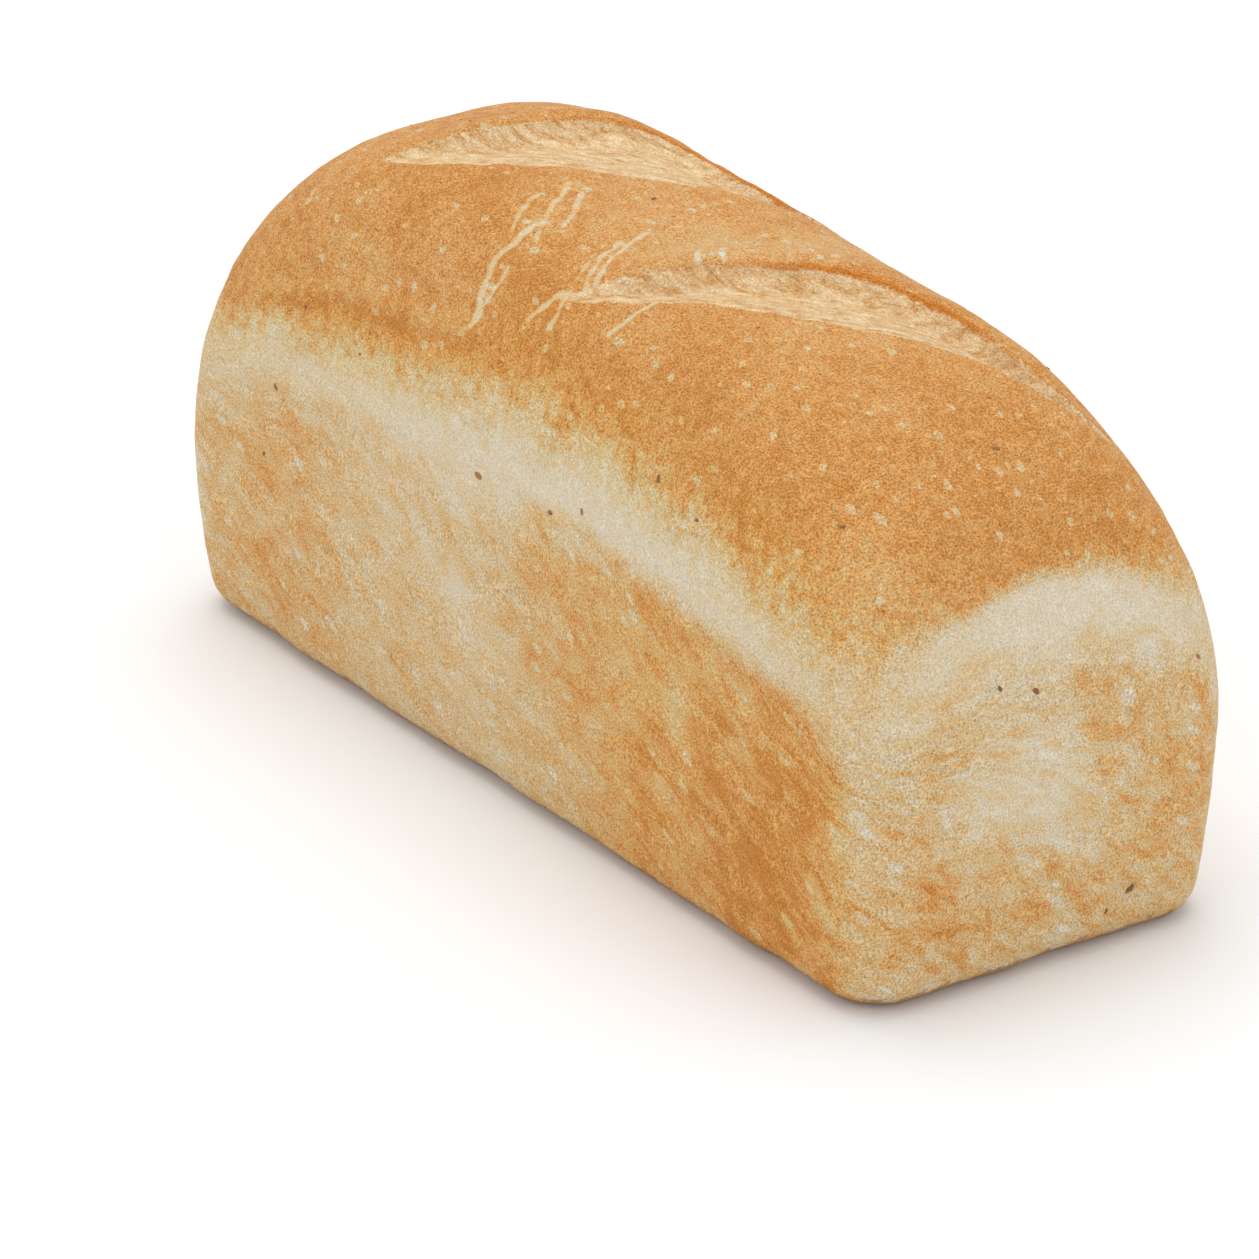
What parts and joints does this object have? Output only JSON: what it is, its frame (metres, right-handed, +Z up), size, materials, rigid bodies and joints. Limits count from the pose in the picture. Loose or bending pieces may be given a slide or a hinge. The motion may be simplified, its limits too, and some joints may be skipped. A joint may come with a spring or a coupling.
{
  "type": "tin loaf",
  "caption": "Whole uncut white tin loaf: oblong, straight pale sides, high domed golden-brown crown with open diagonal slashes.",
  "frame": {"origin": "centre of the loaf's base, midway along and across, on the surface it stands on", "axes": "+X along the loaf, +Y across it, +Z up; the slashes run from the -Y side to the +Y side as they go towards +X"},
  "size_m": [0.2806, 0.1062, 0.1342],
  "materials": {
    "crust": "baked crust, golden brown on the crown and pale cream-tan on the sides, matte with a slight sheen"
  },
  "bodies": {
    "root": {"loaf": "crust"}
  },
  "joints": []
}
